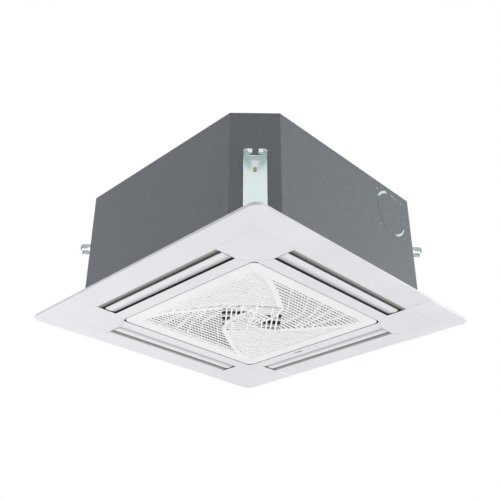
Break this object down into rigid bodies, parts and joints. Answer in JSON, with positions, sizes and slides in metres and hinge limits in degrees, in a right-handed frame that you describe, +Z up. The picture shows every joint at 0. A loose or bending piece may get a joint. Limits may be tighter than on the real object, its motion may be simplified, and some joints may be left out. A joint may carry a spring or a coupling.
{
  "type": "ceiling cassette air conditioner",
  "caption": "Ceiling cassette air conditioner: octagonal sheet casing with hangers above a square panel with vaned outlets and a hinged intake grille.",
  "frame": {"origin": "centre of the ceiling opening at the underside of the ceiling, which is the top face of the panel's rim", "axes": "+Z up into the ceiling void; front is -Y, back is +Y (refrigerant pipes), left is -X, right is +X (drain and cable inlet)"},
  "size_m": [0.67, 0.67, 0.28],
  "materials": {
    "galvanised_sheet": "spangled zinc, satin",
    "white_foam": "matte",
    "hanger_steel": "bright zinc",
    "zinc_screw": "yellow zinc",
    "fin_aluminium": "finned",
    "copper_pipe": "satin copper",
    "brass_nut": "satin",
    "black_plastic": "matte",
    "white_plastic": "satin white",
    "motor_paint": "satin",
    "shaft_steel": "ground",
    "float_foam": "matte",
    "grey_plastic": "satin",
    "motor_tin": "satin",
    "board_green": "satin",
    "rubber_black": "matte",
    "seal_foam": "matte",
    "signal_grey": "gloss",
    "filter_mesh": "fine mesh"
  },
  "bodies": {
    "unit": {"side_wrap": "galvanised_sheet", "top_plate": "galvanised_sheet", "foam_liner": "white_foam", "hanger_back_right": "hanger_steel", "hanger_back_left": "hanger_steel", "hanger_front_left": "hanger_steel", "hanger_front_right": "hanger_steel", "hanger_screw_back_right": "zinc_screw", "hanger_screw_back_left": "zinc_screw", "hanger_screw_front_left": "zinc_screw", "hanger_screw_front_right": "zinc_screw", "coil": "fin_aluminium", "coil_end_plate_back": "copper_pipe", "coil_end_plate_right": "copper_pipe", "gas_pipe": "copper_pipe", "liquid_pipe": "copper_pipe", "gas_flare_nut": "brass_nut", "liquid_flare_nut": "brass_nut", "pipe_plate": "galvanised_sheet", "fan_motor": "motor_paint", "motor_bracket": "galvanised_sheet", "bell_mouth": "black_plastic", "drain_pan": "white_foam", "drain_pump": "white_plastic", "drain_pipe": "grey_plastic", "control_box": "galvanised_sheet", "control_box_lid": "galvanised_sheet", "circuit_board": "board_green", "terminal_block": "white_plastic", "cable_grommet": "rubber_black", "panel_frame": "white_plastic", "panel_seal": "seal_foam", "vane_motor_right": "motor_tin", "vane_motor_back": "motor_tin", "vane_motor_left": "motor_tin", "vane_motor_front": "motor_tin", "corner_cover_back_right": "white_plastic", "corner_cover_back_left": "white_plastic", "corner_cover_front_left": "white_plastic", "corner_cover_front_right": "white_plastic", "panel_screw_back_right": "zinc_screw", "panel_screw_back_left": "zinc_screw", "panel_screw_front_left": "zinc_screw", "panel_screw_front_right": "zinc_screw", "signal_window": "signal_grey", "light_guide": "signal_grey", "display_board": "board_green"},
    "fan": {"turbo_fan": "black_plastic", "motor_shaft": "shaft_steel", "fan_nut": "zinc_screw"},
    "float": {"float": "float_foam"},
    "vane_right": {"vane_right": "white_plastic"},
    "vane_back": {"vane_back": "white_plastic"},
    "vane_left": {"vane_left": "white_plastic"},
    "vane_front": {"vane_front": "white_plastic"},
    "grille": {"intake_grille": "white_plastic", "air_filter": "filter_mesh"},
    "catch_left": {"grille_catch_left": "white_plastic"},
    "catch_right": {"grille_catch_right": "white_plastic"}
  },
  "joints": [
    {"name": "fan_spin", "type": "hinge", "parent": "unit", "child": "fan", "pos_m": [0, 0, 0.15], "axis": [0, 0, 1], "continuous": true},
    {"name": "float_rise", "type": "slide", "parent": "unit", "child": "float", "axis": [0, 0, 1], "range_m": [0, 0.012]},
    {"name": "vane_right_tilt", "type": "hinge", "parent": "unit", "child": "vane_right", "pos_m": [0.24, 0, 0.006], "axis": [0, 1, 0], "range_deg": [0, 45]},
    {"name": "vane_back_tilt", "type": "hinge", "parent": "unit", "child": "vane_back", "pos_m": [0, 0.24, 0.006], "axis": [-1, 0, 0], "range_deg": [0, 45]},
    {"name": "vane_left_tilt", "type": "hinge", "parent": "unit", "child": "vane_left", "pos_m": [-0.24, 0, 0.006], "axis": [0, -1, 0], "range_deg": [0, 45]},
    {"name": "vane_front_tilt", "type": "hinge", "parent": "unit", "child": "vane_front", "pos_m": [0, -0.24, 0.006], "axis": [1, 0, 0], "range_deg": [0, 45]},
    {"name": "grille_swing", "type": "hinge", "parent": "unit", "child": "grille", "pos_m": [0, 0.191, -0.0045], "axis": [1, 0, 0], "range_deg": [0, 85]},
    {"name": "catch_left_slide", "type": "slide", "parent": "grille", "child": "catch_left", "axis": [0, 1, 0], "range_m": [0, 0.003]},
    {"name": "catch_right_slide", "type": "slide", "parent": "grille", "child": "catch_right", "axis": [0, 1, 0], "range_m": [0, 0.003]}
  ]
}
